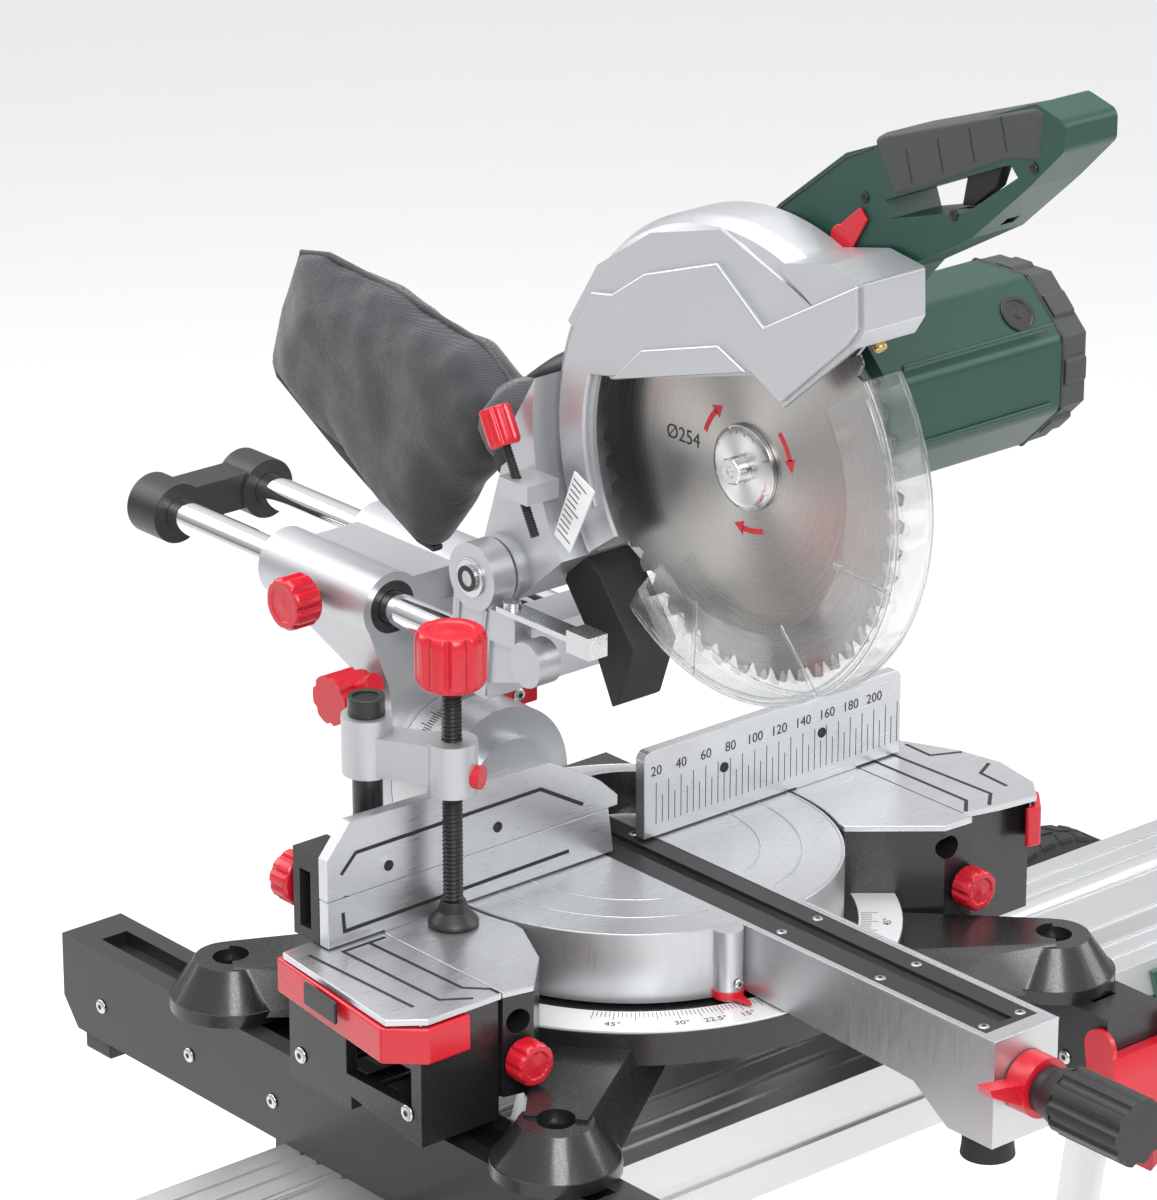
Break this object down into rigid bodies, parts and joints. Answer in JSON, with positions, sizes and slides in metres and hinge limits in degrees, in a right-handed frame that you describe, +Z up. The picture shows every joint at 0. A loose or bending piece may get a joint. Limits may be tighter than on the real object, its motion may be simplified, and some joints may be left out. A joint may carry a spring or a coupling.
{
  "type": "sliding mitre saw on folding work stand",
  "caption": "Sliding compound mitre saw with a tilting, chopping and sliding head, bolted to a folding aluminium stand with telescoping roller supports and trolley wheels.",
  "frame": {"origin": "on the floor, under the middle of the whole object", "axes": "+X along the fence and the stand rail, +Y to the rear of the saw, +Z up"},
  "size_m": [1.496, 0.855, 1.4097],
  "materials": {
    "aluminium": "satin extruded and die-cast aluminium",
    "machined_top": "ground aluminium table surface",
    "green_steel": "semi-gloss dark green powder coat",
    "black_steel": "semi-gloss black powder coat",
    "black_casting": "black painted die-cast aluminium",
    "black_plastic": "black moulded plastic",
    "red_plastic": "red moulded plastic",
    "green_plastic": "dark green moulded plastic",
    "charcoal_plastic": "charcoal soft grip plastic",
    "chrome": "hard chrome",
    "bright_steel": "zinc plated steel",
    "blade_steel": "ground steel blade body",
    "scale_plate": "printed aluminium scale",
    "clear_plastic": "clear polycarbonate",
    "black_rubber": "matt black rubber",
    "tyre": "black tyre rubber",
    "grey_plastic": "grey moulded plastic",
    "bag_fabric": "charcoal woven polyester"
  },
  "bodies": {
    "stand": {"stand_rail": "aluminium", "rail_end_caps": "black_plastic", "leg_brackets": "green_steel", "machine_arms": "black_steel", "trolley_handles": "black_steel", "wheel_axle": "bright_steel", "stand_latches": "red_plastic", "base_casting": "black_casting", "saddle_bolts": "bright_steel", "mitre_scale": "scale_plate", "table_tops": "machined_top", "fence_lower": "machined_top", "clamp_post": "black_steel"},
    "leg_front_left": {"leg_front_left": "aluminium"},
    "leg_rear_left": {"leg_rear_left": "aluminium"},
    "leg_front_right": {"leg_front_right": "aluminium"},
    "leg_rear_right": {"leg_rear_right": "aluminium"},
    "roller_arm_left": {"roller_arm_left": "aluminium"},
    "roller_arm_right": {"roller_arm_right": "aluminium"},
    "roller_frame_left": {"roller_frame_left": "aluminium"},
    "roller_frame_right": {"roller_frame_right": "black_steel"},
    "roller_left": {"roller_left": "chrome"},
    "roller_right": {"roller_right": "chrome"},
    "wheel_front": {"wheel_front": "grey_plastic"},
    "wheel_rear": {"wheel_rear": "grey_plastic"},
    "arm_clamp_lever_left": {"arm_clamp_lever_left": "red_plastic"},
    "arm_clamp_lever_right": {"arm_clamp_lever_right": "red_plastic"},
    "extension_left": {"extension_left": "black_casting"},
    "extension_right": {"extension_right": "black_casting"},
    "extension_knob_left": {"extension_knob_left": "red_plastic"},
    "extension_knob_right": {"extension_knob_right": "red_plastic"},
    "fence_upper": {"fence_left_upper": "machined_top"},
    "fence_knob": {"fence_knob": "red_plastic"},
    "turntable": {"turntable": "machined_top", "table_insert": "black_plastic"},
    "support_foot": {"support_foot": "black_rubber"},
    "mitre_grip": {"mitre_grip": "black_plastic"},
    "detent_lever": {"detent_lever": "red_plastic"},
    "bevel_arm": {"bevel_arm": "aluminium", "rail_bushes": "black_plastic"},
    "slide_knob": {"slide_knob": "red_plastic"},
    "bevel_lever": {"bevel_lever": "red_plastic"},
    "carriage": {"rails": "chrome", "rail_end_cap": "black_plastic", "head_mount": "aluminium"},
    "depth_stop_plate": {"depth_stop_plate": "bright_steel"},
    "head": {"guard_cover": "aluminium", "motor_housing": "green_plastic", "motor_cap": "charcoal_plastic", "handle": "green_plastic", "dust_bag": "bag_fabric", "chip_deflector": "black_rubber"},
    "trigger": {"trigger": "black_plastic"},
    "lock_lever": {"lock_lever": "red_plastic"},
    "depth_screw": {"depth_screw": "red_plastic"},
    "lower_guard": {"lower_guard": "clear_plastic"},
    "blade": {"blade": "blade_steel", "blade_flange": "bright_steel"},
    "clamp_arm": {"clamp_arm": "aluminium"},
    "clamp_screw": {"clamp_screw": "red_plastic"}
  },
  "joints": [
    {"name": "fold_leg_front_left", "type": "hinge", "parent": "stand", "child": "leg_front_left", "pos_m": [-0.43, -0.05, 0.6], "axis": [0, -0.9397, 0.342], "range_deg": [0, 104]},
    {"name": "fold_leg_rear_left", "type": "hinge", "parent": "stand", "child": "leg_rear_left", "pos_m": [-0.43, 0.01, 0.6], "axis": [0, -0.9397, -0.342], "range_deg": [0, 104]},
    {"name": "fold_leg_front_right", "type": "hinge", "parent": "stand", "child": "leg_front_right", "pos_m": [0.43, -0.05, 0.636], "axis": [0, 0.9397, -0.342], "range_deg": [0, 104]},
    {"name": "fold_leg_rear_right", "type": "hinge", "parent": "stand", "child": "leg_rear_right", "pos_m": [0.43, 0.01, 0.636], "axis": [0, 0.9397, 0.342], "range_deg": [0, 104]},
    {"name": "pull_roller_arm_left", "type": "slide", "parent": "stand", "child": "roller_arm_left", "axis": [-1, 0, 0], "range_m": [-0.12, 0.2]},
    {"name": "lift_roller_left", "type": "slide", "parent": "roller_arm_left", "child": "roller_frame_left", "axis": [0, 0, 1], "range_m": [-0.06, 0.07]},
    {"name": "spin_roller_left", "type": "hinge", "parent": "roller_frame_left", "child": "roller_left", "pos_m": [-0.722, -0.02, 0.868], "axis": [0, 1, 0], "continuous": true},
    {"name": "pull_roller_arm_right", "type": "slide", "parent": "stand", "child": "roller_arm_right", "axis": [1, 0, 0], "range_m": [-0.12, 0.2]},
    {"name": "lift_roller_right", "type": "slide", "parent": "roller_arm_right", "child": "roller_frame_right", "axis": [0, 0, 1], "range_m": [-0.06, 0.07]},
    {"name": "spin_roller_right", "type": "hinge", "parent": "roller_frame_right", "child": "roller_right", "pos_m": [0.722, -0.02, 0.868], "axis": [0, 1, 0], "continuous": true},
    {"name": "spin_wheel_front", "type": "hinge", "parent": "stand", "child": "wheel_front", "pos_m": [0.548, -0.23, 0.58], "axis": [0, 1, 0], "continuous": true},
    {"name": "spin_wheel_rear", "type": "hinge", "parent": "stand", "child": "wheel_rear", "pos_m": [0.548, 0.19, 0.58], "axis": [0, 1, 0], "continuous": true},
    {"name": "open_arm_clamp_left", "type": "hinge", "parent": "stand", "child": "arm_clamp_lever_left", "pos_m": [-0.2, -0.227, 0.782], "axis": [-1, 0, 0], "range_deg": [0, 80]},
    {"name": "open_arm_clamp_right", "type": "hinge", "parent": "stand", "child": "arm_clamp_lever_right", "pos_m": [0.2, -0.227, 0.782], "axis": [-1, 0, 0], "range_deg": [0, 80]},
    {"name": "extend_table_left", "type": "slide", "parent": "stand", "child": "extension_left", "axis": [-1, 0, 0], "range_m": [0, 0.1]},
    {"name": "extend_table_right", "type": "slide", "parent": "stand", "child": "extension_right", "axis": [1, 0, 0], "range_m": [0, 0.1]},
    {"name": "turn_extension_knob_left", "type": "hinge", "parent": "stand", "child": "extension_knob_left", "pos_m": [-0.181, -0.12, 0.846], "axis": [0, -1, 0], "range_deg": [0, 180]},
    {"name": "turn_extension_knob_right", "type": "hinge", "parent": "stand", "child": "extension_knob_right", "pos_m": [0.18, -0.112, 0.846], "axis": [0, -1, 0], "range_deg": [0, 180]},
    {"name": "slide_left_fence", "type": "slide", "parent": "stand", "child": "fence_upper", "axis": [-1, 0, 0], "range_m": [0, 0.06]},
    {"name": "turn_fence_knob", "type": "hinge", "parent": "fence_upper", "child": "fence_knob", "pos_m": [-0.218, 0.044, 0.916], "axis": [0, 1, 0], "range_deg": [0, 180]},
    {"name": "mitre_swing", "type": "hinge", "parent": "stand", "child": "turntable", "pos_m": [0, 0, 0.888], "axis": [0, 0, -1], "range_deg": [-45, 45]},
    {"name": "adjust_support_foot", "type": "slide", "parent": "turntable", "child": "support_foot", "axis": [0, 0, 1], "range_m": [0, 0.006]},
    {"name": "turn_mitre_grip", "type": "hinge", "parent": "turntable", "child": "mitre_grip", "pos_m": [0, -0.36, 0.858], "axis": [0, -1, 0], "range_deg": [0, 90]},
    {"name": "press_detent_lever", "type": "hinge", "parent": "turntable", "child": "detent_lever", "pos_m": [0, -0.345, 0.858], "axis": [0, -1, 0], "range_deg": [0, 20], "stiffness_Nm_per_rad": 0.8, "springref_deg": -11.46},
    {"name": "bevel_tilt", "type": "hinge", "parent": "turntable", "child": "bevel_arm", "pos_m": [0, 0.166, 0.888], "axis": [0, -1, 0], "range_deg": [0, 20]},
    {"name": "turn_slide_knob", "type": "hinge", "parent": "bevel_arm", "child": "slide_knob", "pos_m": [-0.076, 0.228, 0.998], "axis": [-1, 0, 0], "range_deg": [0, 180]},
    {"name": "turn_bevel_knob", "type": "hinge", "parent": "bevel_arm", "child": "bevel_lever", "pos_m": [-0.066, 0.188, 0.946], "axis": [-1, 0, 0], "range_deg": [-40, 60]},
    {"name": "head_slide", "type": "slide", "parent": "bevel_arm", "child": "carriage", "axis": [0, 1, 0], "range_m": [-0.11, 0.06]},
    {"name": "swing_depth_stop", "type": "hinge", "parent": "carriage", "child": "depth_stop_plate", "pos_m": [-0.0555, 0.044, 1.042], "axis": [0, 0, -1], "range_deg": [0, 80]},
    {"name": "chop", "type": "hinge", "parent": "carriage", "child": "head", "pos_m": [0, 0.072, 1.056], "axis": [1, 0, 0], "range_deg": [0, 44.5], "stiffness_Nm_per_rad": 16, "springref_deg": -126.05},
    {"name": "squeeze_trigger", "type": "slide", "parent": "head", "child": "trigger", "axis": [0, 0.5291, 0.8486], "range_m": [0, 0.005], "stiffness_N_per_m": 900, "springref_m": -0.003},
    {"name": "press_lock_lever", "type": "hinge", "parent": "head", "child": "lock_lever", "pos_m": [0.024, -0.15, 1.3], "axis": [1, 0, 0], "range_deg": [0, 18], "stiffness_Nm_per_rad": 0.5, "springref_deg": -11.46},
    {"name": "turn_depth_screw", "type": "slide", "parent": "head", "child": "depth_screw", "axis": [0, 0.4691, 0.8832], "range_m": [0, 0.02]},
    {"name": "open_lower_guard", "type": "hinge", "parent": "head", "child": "lower_guard", "pos_m": [0, -0.101, 1.158], "axis": [-1, 0, 0], "range_deg": [0, 145]},
    {"name": "spin_blade", "type": "hinge", "parent": "head", "child": "blade", "pos_m": [0, -0.101, 1.158], "axis": [1, 0, 0], "continuous": true},
    {"name": "swing_clamp_arm", "type": "hinge", "parent": "stand", "child": "clamp_arm", "pos_m": [-0.177, 0.03, 0.988], "axis": [0, 0, -1], "range_deg": [0, 60]},
    {"name": "turn_clamp_screw", "type": "slide", "parent": "clamp_arm", "child": "clamp_screw", "axis": [0, 0, 1], "range_m": [0, 0.03]}
  ],
  "couplings": [
    {"joint": "open_lower_guard", "follows": "chop", "ratio": 3.25}
  ]
}
